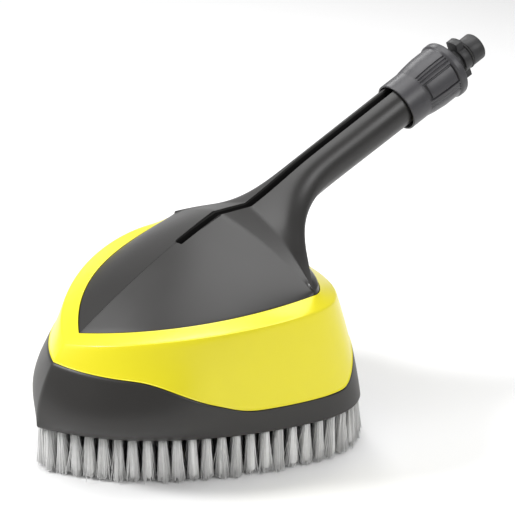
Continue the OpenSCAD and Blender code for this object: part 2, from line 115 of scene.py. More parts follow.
# %% Two-part outlines
FOOT = np.array([[(0, -.117, 0), (.091, -.067, 0), (.110, .048, 0), (.110, .065, 0)],
                 [(.110, .065, 0), (.110, .119, 0), (.060, .117, 0), (0, .117, 0)]])
BEVEL = np.array([[(0, -.0916, .0936), (.0592, -.0744, .1062),
                   (.1078, -.0061, .1191), (.104, .050, .1195)],
                  [(.104, .050, .1195), (.1015, .088, .118), (.062, .106, .114), (0, .108, .112)]])
COVER = np.array([[(0, -.079, .0989), (.066, -.0489, .1153),
                   (.0841, .0087, .1185), (.0935, .058, .1275)],
                  [(.0935, .058, .1275), (.094, .071, .1275), (.050, .090, .124), (0, .098, .121)]])


def cubic(p, t):
    t = np.asarray(t, float)[..., None]
    s = 1 - t
    return s ** 3 * p[0] + 3 * t * s ** 2 * p[1] + 3 * t * t * s * p[2] + t ** 3 * p[3]


def along(curve, t):
    first, second = cubic(curve[0], np.minimum(t, 1)), cubic(curve[1], np.clip(t - 1, 0, 1))
    return np.where((t < 1)[..., None], first, second)


# %% Small helpers for points
SIDE, REAR, RISE = np.eye(3)


def unit(v):
    return v / np.linalg.norm(v, axis=-1, keepdims=True)


def mix(p, q, u):
    """From p to q; u is one number, or one for each point."""
    u = np.asarray(u, float)
    return p + (q - p) * (u[..., None] if u.ndim else u)


def smooth(u):
    u = np.clip(u, 0, 1)
    return u * u * (3 - 2 * u)


def outward(p):
    """Level direction from the middle of the head towards a point of an outline."""
    return unit(p * (1, 1, 0) - .020 * REAR)


# %% [markdown]
# ## Upright wall
# Skirt and shroud share one wall. It runs from the skirt's foot to the shroud's bevel with a
# gentle belly, and low on both sides of the nose it is rounder, like a boat's bow. A second
# number v goes from 0 at the foot to 1 at the bevel. The line between the two colours dips
# along the flanks, so it is a height that depends on where we are along the head.

# %% The wall shared by skirt and shroud
SKIRT_FOOT = .0344
FLANK_LINE, NOSE_RISE, TAIL_RISE = .054, .028, .026


def foot(t):
    return along(FOOT, t) + SKIRT_FOOT * RISE


def bevel(t):
    return along(BEVEL, np.where(t < 1, t + .35 * t * (1 - t), t))


def wall_at(t, v, depth=0.0):
    t, v = np.broadcast_arrays(np.asarray(t, float), np.asarray(v, float))
    low_p, high_p, v = foot(t), bevel(t), v[..., None]
    middle = (low_p + high_p) / 2
    swell = .0035 + .0085 * np.maximum(0, 1 - t[..., None]) ** 2
    p = (1 - v) ** 2 * low_p + 2 * v * (1 - v) * (middle + swell * outward(middle)) + v * v * high_p
    bow = np.where(t < .5, .012 * np.sin(2 * pi * t), 0)[..., None]
    p = p + bow * 9.5 * v * (1 - v) ** 3 * outward(p)
    return p - np.asarray(depth)[..., None] * outward(p)


def split_v(t):
    y = foot(t)[..., 1]
    z = FLANK_LINE + NOSE_RISE * smooth((.010 - y) / .078) + TAIL_RISE * smooth((y - .078) / .038)
    return (z - SKIRT_FOOT) / (bevel(t)[..., 2] - SKIRT_FOOT)


# %% [markdown]
# ## Meshes from rows of points
# All shells here are lattices: rows of points joined by four-sided faces. A coarse lattice
# with a Subdivision Surface modifier gives calm reflections, and an edge crease says how tight
# each fold stays. That is easier to tune than modelling the roundings by hand.
# The modifiers are then applied, and edges that are still sharp are marked by their angle.

# %% Lattice to mesh
def lattice(name, rows, wrap_rows=False, wrap_columns=False, skip=None, creases=None, flip=False):
    """rows[k][i] is a point; creases maps a row or ('column', i) to a crease from 0 to 1."""
    rows = np.asarray(rows, float)
    count, width = rows.shape[:2]
    mesh = bpy.data.meshes.new(name)
    faces = []
    for k in range(count if wrap_rows else count - 1):
        for i in range(width if wrap_columns else width - 1):
            if skip and skip(k, i):
                continue
            up, on = (k + 1) % count, (i + 1) % width
            quad = [k * width + i, k * width + on, up * width + on, up * width + i]
            faces.append(quad[::-1] if flip else quad)
    mesh.from_pydata([tuple(p) for p in (rows + HEAD).reshape(-1, 3)], [], faces)
    crease = mesh.attributes.new("crease_edge", "FLOAT", "EDGE")
    for edge in mesh.edges:
        (ka, ia), (kb, ib) = (divmod(v, width) for v in edge.vertices)
        key = ka if ka == kb else ("column", ia) if ia == ib else None
        crease.data[edge.index].value = (creases or {}).get(key, 0)
    piece = bpy.data.objects.new(name, mesh)
    bpy.context.scene.collection.objects.link(piece)
    tidy(piece)
    return piece


def tidy(piece):
    """Drops points that no face uses."""
    work = bmesh.new()
    work.from_mesh(piece.data)
    bmesh.ops.delete(work, geom=[v for v in work.verts if not v.link_faces], context="VERTS")
    work.to_mesh(piece.data)
    work.free()


# %% Modifiers, and settling a piece
def modify(piece, kind, **settings):
    modifier = piece.modifiers.new(kind.title(), kind)
    for key, value in settings.items():
        setattr(modifier, key, value)
    return modifier


def settle(piece, sharp=38):
    """Applies the modifiers, shades smoothly and keeps edges above this angle sharp."""
    graph = bpy.context.evaluated_depsgraph_get()
    mesh = bpy.data.meshes.new_from_object(piece.evaluated_get(graph))
    piece.modifiers.clear()
    piece.data = mesh
    mesh.shade_smooth()
    mesh.set_sharp_from_angle(angle=radians(sharp))
    print(f"{piece.name}: {len(mesh.polygons)} faces")
    return piece


def dress(piece, body, slot_name, finish, *nodes):
    """Puts a finish on a piece that stands for CAD nodes, and lets it ride on their body."""
    piece.data.materials.clear()
    piece.data.materials.append(finish)
    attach(piece, body)
    if nodes:
        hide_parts(*nodes)


# %% [markdown]
# ## Finishes
# A finish is a small network of shader nodes. Written node by node it is long, so two small
# classes help: Wire lets us do sums with sockets, and Finish adds any node in one line.
# Numbers that are the same all over are set straight on the shader. Only colour, roughness
# and bump change over the surface.

# %% Sums with sockets
class Wire:
    """A socket of a shader node that can be used in arithmetic."""

    def __init__(self, finish, socket):
        self.finish, self.socket = finish, socket

    def sum(self, operation, a, b):
        return self.finish.node("ShaderNodeMath", {"operation": operation}, {0: a, 1: b})

    def __add__(self, other):
        return self.sum("ADD", self, other)

    def __sub__(self, other):
        return self.sum("SUBTRACT", self, other)

    def __rsub__(self, other):
        return self.sum("SUBTRACT", other, self)

    def __mul__(self, other):
        return self.sum("MULTIPLY", self, other)

    __radd__, __rmul__ = __add__, __mul__


# %% A finish and its nodes
class Finish:
    """A material with one Principled shader. Its constants go on the shader's own sockets."""

    def __init__(self, name, **constants):
        self.material = bpy.data.materials.new(name)
        self.material.use_nodes = True
        self.tree = self.material.node_tree
        self.shader = self.tree.nodes["Principled BSDF"]
        for key, value in constants.items():
            self.shader.inputs[key.replace("_", " ")].default_value = value

    def node(self, kind, settings, sockets, output=0):
        made = self.tree.nodes.new(kind)
        for key, value in settings.items():
            if key == "stops":
                for k, (place, colour) in enumerate(value):
                    ramp = made.color_ramp.elements
                    stop = ramp[k] if k < 2 else ramp.new(place)
                    stop.position, stop.color = place, (*colour, 1)
            else:
                setattr(made, key, value)
        for key, value in sockets.items():
            if isinstance(value, Wire):
                self.tree.links.new(value.socket, made.inputs[key])
            else:
                made.inputs[key].default_value = value
        return Wire(self, made.outputs[output])

    def paint(self, key, wire):
        self.tree.links.new(wire.socket, self.shader.inputs[key])


# %% [markdown]
# Four habits come back in every finish: places on the surface, clouds of noise, a colour that
# follows a mask, and a bump. Object coordinates stay with a part when it moves, and they need
# no unwrapping.

# %% Habits that every finish shares
def places(finish, stretch=(1, 1, 1)):
    here = finish.node("ShaderNodeTexCoord", {}, {}, "Object")
    return finish.node("ShaderNodeVectorMath", {"operation": "MULTIPLY"}, {0: here, 1: stretch})


def cloud(finish, scale, detail=3.0, where=None):
    """Noise from 0 to 1; scale is in cycles per metre."""
    where = where or places(finish)
    sockets = {"Vector": where, "Scale": scale, "Detail": detail}
    return finish.node("ShaderNodeTexNoise", {}, sockets)


def shades(finish, mask, *colours):
    stops = [(k / (len(colours) - 1), colour) for k, colour in enumerate(colours)]
    finish.paint("Base Color", finish.node("ShaderNodeValToRGB", {"stops": stops}, {"Fac": mask}))


def bumps(finish, height, metres, strength=0.5):
    sockets = {"Height": height, "Distance": metres, "Strength": strength}
    finish.paint("Normal", finish.node("ShaderNodeBump", {}, sockets))


# %% [markdown]
# ### Moulded plastic
# The cover, the skirt and the collar are black or grey plastic from a spark-eroded mould. It
# has a very fine grain and a satin sheen, and handling leaves broad, faint patches that are
# a little duller. The grain is bump only, the patches change roughness and colour slightly.

# %% Moulded plastic
def moulded(name, dark, light, dull=0.40, grain=1500, depth=0.00003):
    finish = Finish(name, IOR=1.48)
    patches = cloud(finish, 22, 4)
    speckle = cloud(finish, grain, 2)
    shades(finish, patches * 0.8 + speckle * 0.2, dark, light)
    finish.paint("Roughness", patches * 0.12 + speckle * 0.06 + (dull - 0.09))
    bumps(finish, speckle, depth)
    return finish.material


cover_plastic = moulded("cover_plastic", (.016, .015, .0145), (.024, .023, .022), 0.36)
skirt_plastic = moulded("skirt_plastic", (.017, .016, .015), (.026, .024, .022), 0.42)
collar_plastic = moulded("collar_plastic", (.040, .039, .043), (.056, .055, .060), 0.38)
inner_plastic = moulded("inner_plastic", (.014, .014, .014), (.024, .023, .023), 0.5)
# painted shade: the trough is cover plastic with its colour darkened to near black for the deep slot
trough_painted_shade = moulded("trough_painted_shade", (.003, .003, .003), (.006, .005, .005), 0.85)
nipple_plastic = moulded("nipple_plastic", (.015, .015, .016), (.028, .028, .029), 0.46, 900, 0.00006)
pipe_plastic = moulded("pipe_plastic", (.10, .105, .11), (.15, .155, .16), 0.42)

# %% [markdown]
# ### Glossy yellow shroud
# The shroud comes from a polished mould, so it is smoother and shows soft lights. The yellow
# is strong and slightly green. A clear-coat layer gives the wet edge to the highlights, and a
# very weak broad bump keeps the reflections from looking like glass.

# %% Yellow shroud plastic
def yellow_gloss():
    finish = Finish("shroud_plastic", IOR=1.5, Coat_Roughness=0.12)
    patches, fine = cloud(finish, 14, 3), cloud(finish, 900, 2)
    shades(finish, patches, (.80, .70, .006), (.86, .77, .010))
    finish.paint("Roughness", patches * 0.10 + fine * 0.05 + 0.26)
    finish.paint("Coat Weight", 0.28 - patches * 0.12)
    bumps(finish, patches * 0.7 + fine * 0.05, 0.00012, 0.3)
    return finish.material


shroud_plastic = yellow_gloss()

# %% [markdown]
# ### Nylon, rubber and metals
# Each filament has its own shade, stored on the mesh as a number called strand, so a tuft
# looks like hundreds of hairs. Rubber is nearly black with dust in it. The brass nozzles and
# the zinc-plated screws are turned parts with fine tool lines, made by squeezing the noise.

# %% Bristle nylon
def nylon():
    finish = Finish("bristle_nylon", IOR=1.53, Roughness=0.45)
    strand = finish.node("ShaderNodeAttribute", {"attribute_name": "strand"}, {}, "Fac")
    worn = cloud(finish, 240, 2)
    mask = strand * 0.75 + worn * 0.25
    shades(finish, mask, (.62, .62, .61), (.84, .84, .83), (.97, .97, .96))
    return finish.material


bristle_nylon = nylon()


# %% Rubber and turned metal
def rubber():
    finish = Finish("seal_rubber", IOR=1.5)
    dust = cloud(finish, 400, 4)
    shades(finish, dust, (.012, .012, .012), (.035, .034, .033))
    finish.paint("Roughness", dust * 0.25 + 0.5)
    bumps(finish, dust, 0.00005)
    return finish.material


def turned(name, dark, light, stretch):
    finish = Finish(name, Metallic=1.0)
    lines = cloud(finish, 500, 3, places(finish, stretch))
    shades(finish, lines, dark, light)
    finish.paint("Roughness", lines * 0.2 + 0.22)
    bumps(finish, lines, 0.00003, 0.4)
    return finish.material


seal_rubber = rubber()
brass = turned("brass", (.62, .42, .16), (.78, .58, .28), (1, 1, 9))
steel = turned("steel", (.46, .47, .48), (.66, .67, .68), (6, 1, 1))
print("finishes:", [m.name for m in bpy.data.materials if m.use_nodes])

# %% [markdown]
# ## Cover and handle
# The cover is moulded in two halves that meet on the ridge. Each half climbs from its edge in
# the shroud over one flat face to a first crease, crosses a narrow band to a second crease,
# and then sweeps up into the round handle. We describe the lines it passes through, one
# function each, and skin them as rows of a lattice.

# %% Creases of the cover
KINK_1, KINK_2 = np.array([0, .0376, .1653]), np.array([0, .0662, .1656])
CREASE_ARCH = np.array([0, .004, .002])
RIDGE_CROWN, HEM = .004, .005
NOSE_LIP, FLANK_LIP = .0015, .0035


def lip(t, height):
    edge = along(COVER, t)
    return edge + height * RISE - .3 * height * outward(edge)


def arched(kink, t, height):
    """From a kink on the ridge to the flank, arching a little upwards and back on its way."""
    w = np.minimum(t, 1)
    arch = (4 * w * (1 - w))[..., None] * CREASE_ARCH
    return mix(kink, lip(np.maximum(t, 1), height), w) + arch


def crease_1(t):
    return arched(KINK_1, t, NOSE_LIP)


def crease_2(t):
    return arched(KINK_2, t, FLANK_LIP)


def face(t, u):
    crown = RIDGE_CROWN * 4 * u * (1 - u) * np.maximum(0, 1 - t)
    return mix(along(COVER, t), crease_1(t), u) + crown[..., None] * RISE


# %% [markdown]
# The handle is a tube round a slanted axis through the middle of the collar's lower rim. Its
# root leaves the second crease in a direction that turns with t: along the handle on the
# ridge, level and inwards on the flank, and upwards at the tail. A cubic curve joins the two.

# %% Handle tube and its root
HANDLE_RISE = radians(24.8)
RIM = np.array([0, .2078, .2141])
ALONG = np.array([0, cos(HANDLE_RISE), sin(HANDLE_RISE)])
ABOVE = np.array([0, -sin(HANDLE_RISE), cos(HANDLE_RISE)])
TUBE_R, TUBE_ROOT_R, TUBE_LIFT = .017, .0164, .001
ROOT_A, TUBE_END_A = -.080, .0215
FLANK_WAY, HOLLOW_WAY, TAIL_WAY = np.array([(-.75, .6, .1), (-1.3, -.7, .35), (0, .3, .95)])


def tube(t, a):
    turned_by = np.radians(np.where(t < 1, 110 * t, 110 + 70 * (t - 1)))[..., None]
    radius = TUBE_ROOT_R + (TUBE_R - TUBE_ROOT_R) * np.minimum(1, (a - ROOT_A) / -ROOT_A)
    spoke = np.sin(turned_by) * SIDE + np.cos(turned_by) * ABOVE
    return RIM + a * ALONG + TUBE_LIFT * ABOVE + radius * spoke


def root(t, u):
    w = np.maximum(0, t - 1)[..., None]
    tail = (1 - w) ** 2 * FLANK_WAY + 2 * w * (1 - w) * HOLLOW_WAY + w * w * TAIL_WAY
    front = mix(ALONG + 0 * tail, FLANK_WAY, smooth(1.35 * t))
    way = unit(np.where((t < 1)[..., None], front, tail))
    start, end = crease_2(t), tube(t, ROOT_A)
    span = np.linalg.norm(end - start, axis=-1, keepdims=True)
    leave = (.38 + .12 * w) * span * way
    arrive = (.45 + .4 * smooth(1.5 * w)) * span * ALONG
    return cubic([start, start + leave, end - arrive, end], u)


# %% [markdown]
# ### The slot
# A slot runs along the ridge and the top of the handle. Instead of cutting it afterwards, the
# second column of the lattice follows the slot's side: for each row we look for the t where
# the surface is half a slot wide. Leaving out the faces between the first two columns then
# opens the slot with a clean edge, and subdivision rounds its front corners.

# %% Rows and columns of one half of the cover
SLOT_HALF, SLOT_START = .0045, .003
SEAM, COVER_WALL = .00006, .002
COLUMNS = 15
slot_u = (SLOT_START - COVER[0][0][1]) / (KINK_1[1] - COVER[0][0][1])
face_steps = [0, .1, .22, .35, .47, .59, slot_u - .03, slot_u, slot_u + .03, .82, .91, 1]
root_steps = [k / 12 for k in range(1, 13)]
tube_steps = [-.062, -.044, -.026, -.008, .010, TUBE_END_A]
ROWS = [lambda t: along(COVER, t) - HEM * RISE]
ROWS += [lambda t, u=u: face(t, np.full_like(t, u)) for u in face_steps]
ROWS += [lambda t: mix(crease_1(t), crease_2(t), .5), crease_2]
ROWS += [lambda t, u=u: root(t, np.full_like(t, u)) for u in root_steps]
ROWS += [lambda t, a=a: tube(t, a) for a in tube_steps]
CREASE_1_ROW = len(face_steps)
SLOT_ROW = 1 + face_steps.index(slot_u)


def slot_side(row):
    near, far = 0.0, 0.6
    for _ in range(30):
        middle = (near + far) / 2
        wide = row(np.array([middle]))[0][0] > SLOT_HALF
        near, far = (near, middle) if wide else (middle, far)
    return far


def cover_rows(side):
    rows = []
    for row in ROWS:
        first = slot_side(row)
        flank = [first + (1 - first) * k / COLUMNS for k in range(COLUMNS + 1)]
        t = np.array([0] + flank + [1 + k / COLUMNS for k in range(1, COLUMNS + 1)])
        points = row(t)
        points[:, 0] = np.maximum(points[:, 0], SEAM)
        rows.append(points * (side, 1, 1))
    return rows


print("cover lattice:", len(ROWS), "rows, slot starts at row", SLOT_ROW)

# %% The two halves of the cover
def cover_half(name, side):
    folds = {1: 0.9, CREASE_1_ROW: 0.62, CREASE_1_ROW + 2: 0.85}
    piece = lattice(name, cover_rows(side), flip=side < 0, creases=folds,
                    skip=lambda k, i: i == 0 and k >= SLOT_ROW)
    modify(piece, "SOLIDIFY", thickness=COVER_WALL, offset=-1,
           edge_crease_rim=0.6, edge_crease_outer=0.93, edge_crease_inner=0.9)
    modify(piece, "SUBSURF", levels=2, render_levels=2)
    return settle(piece)


cover_right_shell = cover_half("cover_right_shell", 1)
cover_left_shell = cover_half("cover_left_shell", -1)
dress(cover_right_shell, "root", "cover_plastic", cover_plastic, "cover_right")
dress(cover_left_shell, "root", "cover_plastic", cover_plastic, "cover_left")

# %% [markdown]
# The slot isn't open to the inside: a trough closes it a few millimetres down, so water and
# dirt stay out. It follows the same ridge line, a little lower, as a U of constant width.
# Its near-black colour, far darker than the cover's own plastic, is painted shade for the deep slot.

# %% Trough under the slot
TROUGH_DEPTH, TROUGH_HALF = .0090, .0050
TROUGH_DROP, TROUGH_LEAD, TROUGH_WALL = .0017, .0012, .0008


def trough():
    ridge = np.array([row(np.zeros(1))[0] for row in ROWS[SLOT_ROW:]])
    ways = unit(np.gradient(ridge, axis=0))
    ridge[0] -= TROUGH_LEAD * ways[0]
    rows = []
    for p, n in zip(ridge, np.cross(SIDE, ways)):
        rim, floor = p - TROUGH_DROP * n, p - TROUGH_DEPTH * n
        rows.append([rim - TROUGH_HALF * SIDE, floor - TROUGH_HALF * SIDE,
                     floor + TROUGH_HALF * SIDE, rim + TROUGH_HALF * SIDE])
    closed = [[rows[0][0], rows[0][0], rows[0][3], rows[0][3]]]
    piece = lattice("slot_trough", closed + rows, flip=True)
    modify(piece, "SOLIDIFY", thickness=TROUGH_WALL, offset=-1)
    return settle(piece)


slot_trough = trough()
# The trough sits in the cover's plastic slot, but its colour is darkened as painted shade.
dress(slot_trough, "root", "cover_plastic", trough_painted_shade)

# %% [markdown]
# ## Closed rings
# Shroud and skirt are bands that close on themselves. We give their section as stations, each
# a ring of points round the head, going up the outside and down the inside. The right half is
# computed and mirrored. The nose is a real edge, so its column gets a crease as well.

# %% Rings round the head
RING_T = np.concatenate([np.linspace(0, 1, 29), np.linspace(1, 2, 29)[1:]])


def full_ring(half):
    return np.concatenate([half, half[-2:0:-1] * (-1, 1, 1)])


def band(name, stations, creases):
    piece = lattice(name, [full_ring(station) for station in stations], wrap_rows=True,
                    wrap_columns=True, creases={**creases, ("column", 0): 0.75})
    modify(piece, "SUBSURF", levels=2, render_levels=2)
    return settle(piece)


# %% [markdown]
# ### Splash shroud
# The yellow shroud's lower edge has a rolled lip about a millimetre high. Its wall swells up
# to a soft bevel, a sloping band runs in to the cover, and the band's inner edge turns down
# so that it shows its thickness beside the thin dark gap.

# %% Splash shroud
WALL, COVER_GAP = .0026, .00045
LIP_OUT, LIP_TOP = .0005, .022


def shroud_stations():
    t, bottom = RING_T, split_v(RING_T) + .004
    span, edge = .985 - bottom, along(COVER, RING_T)
    band_in = edge + COVER_GAP * outward(edge)
    roll = [(0, .0002), (.004, -LIP_OUT), (LIP_TOP * .6, -LIP_OUT),
            (LIP_TOP, -.0001), (LIP_TOP * 1.6, 0)]
    lips = [wall_at(t, bottom + span * s, out) for s, out in roll]
    outside = [wall_at(t, bottom + span * s) for s in (.12, .3, .5, .7, .86, .96)]
    top = [mix(bevel(t), edge, .03) + .0002 * RISE, mix(bevel(t), edge, .3),
           mix(bevel(t), edge, .7), band_in]
    under = [band_in - WALL * RISE]
    inside = [wall_at(t, bottom + (.965 - bottom) * s, WALL) for s in (.97, .7, .35, 0)]
    return lips + outside + top + under + inside


shroud_creases = {0: .8, 1: .7, 3: .7, 11: .5, 14: .8, 15: .8, 19: .9}
shroud = band("splash_shroud_shell", shroud_stations(), shroud_creases)
dress(shroud, "root", "shroud_plastic", shroud_plastic, "splash_shroud")

# %% [markdown]
# ### Skirt
# The skirt belongs to the brush insert that drops out for cleaning. It stands a little proud
# of the shroud towards the line between them, its foot is rounded, and the tail has a window
# for the release lever. A Boolean with a simple block cuts the window.

# %% Skirt
SKIRT_PROUD = .0006
LEVER_Z, NOTCH_HALF = .060, .0228
NOTCH_LOW, NOTCH_HIGH = (-NOTCH_HALF, .095, LEVER_Z - .017), (NOTCH_HALF, .130, .093)


def skirt_stations():
    t, top = RING_T, split_v(RING_T) - .004
    profile = [(0, .0007), (.03, 0), (.15, 0), (.35, 0), (.6, 0), (.85, 0), (.975, 0), (1, .0005)]
    outside = [wall_at(t, s * top, out - SKIRT_PROUD * s) for s, out in profile]
    inside = [wall_at(t, s * top, WALL) for s in (1, .6, .3, 0)]
    return outside + inside


def block(low_corner, high_corner):
    work = bmesh.new()
    bmesh.ops.create_cube(work, size=1)
    size = np.subtract(high_corner, low_corner)
    centre = np.add(high_corner, low_corner) / 2 + HEAD
    for v in work.verts:
        v.co = Vector(centre + np.array(v.co) * size)
    mesh = bpy.data.meshes.new("cutter")
    work.to_mesh(mesh)
    work.free()
    return bpy.data.objects.new("cutter", mesh)


def cut(piece, cutter):
    """Takes the cutter out of the piece, then throws the cutter away."""
    bpy.context.scene.collection.objects.link(cutter)
    modify(piece, "BOOLEAN", operation="DIFFERENCE", object=cutter, solver="EXACT")
    settle(piece)
    bpy.data.objects.remove(cutter)


skirt = band("skirt_frame_shell", skirt_stations(), {0: .6, 1: .5, 6: .6, 7: .8, 8: .8, 11: .8})
cut(skirt, block(NOTCH_LOW, NOTCH_HIGH))
dress(skirt, "brush_insert", "skirt_plastic", skirt_plastic, "skirt_frame")

# %% [markdown]
# ## Screw bores in the left half
# Two screws close the handle from the left. Their heads sit in counterbores, and a cutter
# with the same places opens them in the moulded half.

# %% Screw bores
SCREW_DROP, BORE_R, BORE_START, BORE_LEN = .0094, .003, .0095, .02


def drum(centre, radius, length, sides=32):
    """A cylinder across the head for cutting, starting at centre and going to -X."""
    rings = [[centre + s * length * SIDE + radius * (cos(w) * REAR + sin(w) * RISE)
              for w in np.linspace(0, 2 * pi, sides, endpoint=False)] for s in (-1, 0)]
    points = [tuple(p + HEAD) for ring in rings for p in ring]
    faces = [[i, (i + 1) % sides, sides + (i + 1) % sides, sides + i] for i in range(sides)]
    faces += [list(range(sides))[::-1], list(range(sides, 2 * sides))]
    mesh = bpy.data.meshes.new("cutter")
    mesh.from_pydata(points, [], faces)
    return bpy.data.objects.new("cutter", mesh)


for a in (-.062, -.014):
    seat = RIM + a * ALONG - SCREW_DROP * ABOVE - BORE_START * SIDE
    cut(cover_left_shell, drum(seat, BORE_R, BORE_LEN))

# %% [markdown]
# ## Tufts
# A tuft is a bundle of nylon filaments folded into one hole of the plate. It is tight at the
# root, fans out towards the tip, and its ends are uneven. Three rings of tufts follow the
# foot's outline. We place them at equal steps along each ring, then grow every filament as a
# thin three-sided tube along a bent line. A slim cone in the middle of each bundle stands for
# the filaments that nobody sees, so the bundle looks dense.

# %% Places of the tufts along one ring
TUFT_PITCH = .0105
chance = np.random.default_rng(7)


def tuft_places(inset):
    t = np.linspace(0, 2, 45)
    loop = full_ring(foot(t) - inset * outward(foot(t)))
    loop = np.concatenate([loop, loop[:1]])
    run = np.concatenate([[0], np.cumsum(np.linalg.norm(np.diff(loop, axis=0), axis=1))])
    count = int(run[-1] // TUFT_PITCH)
    at = (np.arange(count) + .5) * run[-1] / count
    x, y = (np.interp(at, run, loop[:, axis]) for axis in (0, 1))
    return np.stack([x, y, 0 * at], axis=1)


# %% Filaments of one ring
ROOT_Z = SKIRT_FOOT + .0008
ROOT_R, TIP_R, FILAMENT_R = .0027, .0050, .00027
LEAN, STRAY, WILD, WILD_SHARE = .0007, .0006, .0035, .03


def filament_lines(centres, per_tuft):
    """Bent lines of four points each: (filament, point, xyz)."""
    count = len(centres) * per_tuft
    centre = np.repeat(centres, per_tuft, axis=0)
    spin, reach = chance.uniform(0, 2 * pi, count), np.sqrt(chance.uniform(0, 1, count))
    way = np.stack([np.cos(spin), np.sin(spin), 0 * spin], axis=1)
    lean = np.repeat(chance.normal(0, LEAN, (len(centres), 3)), per_tuft, axis=0) * (1, 1, 0)
    stray = np.where(chance.uniform(0, 1, count) < WILD_SHARE, WILD, STRAY)[:, None]
    tip_z = .0004 + .0011 * (1 - reach) * chance.uniform(0, 1, count)
    tip_z = tip_z + .0028 * reach ** 2 * chance.uniform(0, 1, count)
    start = centre + ROOT_R * reach[:, None] * way + ROOT_Z * RISE
    spread = TIP_R * reach[:, None] * way + lean
    spread = spread + stray * chance.normal(0, 1, (count, 3)) * (1, 1, 0)
    end = centre + spread + tip_z[:, None] * RISE
    bend = mix(start, end, .45) + .35 * (start - end) * (1, 1, 0) * .5
    steps = np.array([0, .35, .7, 1])[:, None, None]
    lines = (1 - steps) ** 2 * start + 2 * steps * (1 - steps) * bend + steps ** 2 * end
    return lines.transpose(1, 0, 2)


# %% Thin tubes along many lines at once
def tubes(lines, radius, sides=3):
    count, length = lines.shape[:2]
    w = np.arange(sides) * 2 * pi / sides
    ring = np.stack([np.cos(w), np.sin(w), 0 * w], axis=1) * radius
    points = lines[:, :, None, :] + ring
    base = np.arange(count)[:, None, None] * length * sides
    k, i = np.arange(length - 1)[:, None] * sides, np.arange(sides)
    j = (i + 1) % sides
    near, far = base + k, base + k + sides
    quads = np.stack([near + i, near + j, far + j, far + i], axis=-1)
    ends = base[:, 0] + np.arange(sides)[::-1] + (length - 1) * sides
    tops = base[:, 0] + np.arange(sides)
    faces = quads[..., ::-1].reshape(-1, 4).tolist() + ends.tolist() + tops.tolist()
    return points.reshape(-1, 3), faces


# %% Slim cores of the bundles
CORE_STEPS = [(SKIRT_FOOT - .0002, .0022), (.022, .0026), (.010, .0033),
              (.005, .0034), (.003, .0022), (.0022, .0004)]
CORE_SHADE = .35


def cores(centres, sides=9):
    w = np.arange(sides) * 2 * pi / sides
    ring = np.stack([np.cos(w), np.sin(w), 0 * w], axis=1)
    rings = np.array([[c + r * ring + z * RISE for z, r in CORE_STEPS] for c in centres])
    points, faces = rings.reshape(-1, 3), []
    for c in range(len(centres)):
        base = c * len(CORE_STEPS) * sides
        for k in range(len(CORE_STEPS) - 1):
            for i in range(sides):
                a, b = base + k * sides, base + (k + 1) * sides
                faces.append([a + i, b + i, b + (i + 1) % sides, a + (i + 1) % sides])
        faces.append([base + i for i in range(sides)])
        faces.append([base + (len(CORE_STEPS) - 1) * sides + i for i in range(sides)][::-1])
    return points, faces


# %% A ring of tufts
def tuft_ring(name, inset, per_tuft, node):
    centres = tuft_places(inset)
    lines = filament_lines(centres, per_tuft)
    hair_points, hair_faces = tubes(lines, FILAMENT_R)
    core_points, core_faces = cores(centres)
    offset = len(hair_points)
    points = np.concatenate([hair_points, core_points]) + HEAD
    points = np.clip(points, np.array(low) + .0001, np.array(high))
    faces = hair_faces + [[v + offset for v in f] for f in core_faces]
    mesh = bpy.data.meshes.new(name)
    mesh.from_pydata(points.tolist(), [], faces)
    shade = np.repeat(chance.uniform(0, 1, len(lines)), offset // len(lines))
    strand = mesh.attributes.new("strand", "FLOAT", "POINT")
    shade = np.concatenate([shade, np.full(len(core_points), CORE_SHADE)])
    strand.data.foreach_set("value", shade.astype(np.float32))
    mesh.shade_smooth()
    piece = bpy.data.objects.new(name, mesh)
    bpy.context.scene.collection.objects.link(piece)
    dress(piece, "brush_insert", "bristle_nylon", bristle_nylon, node)
    print(f"{name}: {len(centres)} tufts, {len(lines)} filaments")


tuft_ring("outer_filaments", .0042, 90, "tufts_outer_row")
tuft_ring("middle_filaments", .0150, 60, "tufts_middle_row")
tuft_ring("inner_filaments", .0260, 45, "tufts_inner_row")

# %% [markdown]
# ## Coupling collar
# The collar is a separate ribbed grip round the handle, and in the CAD model it turns there
# together with the nipple. Its first third is smooth and its body swells
# towards a flange. Left and right it has a raised pad in a sunk pocket, with three grooves
# above and three below for the fingers. All of that is relief on a turned body: a height that
# is added to the radius, written with smooth steps in the turn angle and along the axis.

# %% Collar relief
COLLAR_LEN = .0565
PAD_AT, PAD_HALF = radians(72), radians(21)
GROOVES = [radians(g) for g in (30, 37, 44, 100, 107, 114)]
GROOVE_HALF = radians(1.6)
RELIEF_FROM, RELIEF_TO, RELIEF_EDGE = .0195, .0495, .00035
POCKET_DEPTH, PAD_HEIGHT, GROOVE_DEPTH = .0016, .0018, .0012


def window(x, near, far, soft):
    """1 between near and far, 0 outside, with soft sides."""
    return smooth((x - near) / soft + .5) * smooth((far - x) / soft + .5)


def relief(a, turn_angle):
    q = np.abs((turn_angle + pi) % (2 * pi) - pi)
    length = window(a, RELIEF_FROM, RELIEF_TO, RELIEF_EDGE * 2)
    soft = RELIEF_EDGE / .022
    pocket = length * window(q, PAD_AT - PAD_HALF, PAD_AT + PAD_HALF, soft * 1.5)
    pad_half = PAD_HALF - radians(3.6)
    pad = window(a, RELIEF_FROM + .0022, RELIEF_TO - .0012, RELIEF_EDGE * 2)
    pad = pad * window(q, PAD_AT - pad_half, PAD_AT + pad_half, soft * 1.5)
    height = PAD_HEIGHT * pad - POCKET_DEPTH * pocket
    for groove in GROOVES:
        cut_in = window(q, groove - GROOVE_HALF, groove + GROOVE_HALF, soft * 2)
        height = height - GROOVE_DEPTH * length * cut_in
    return height


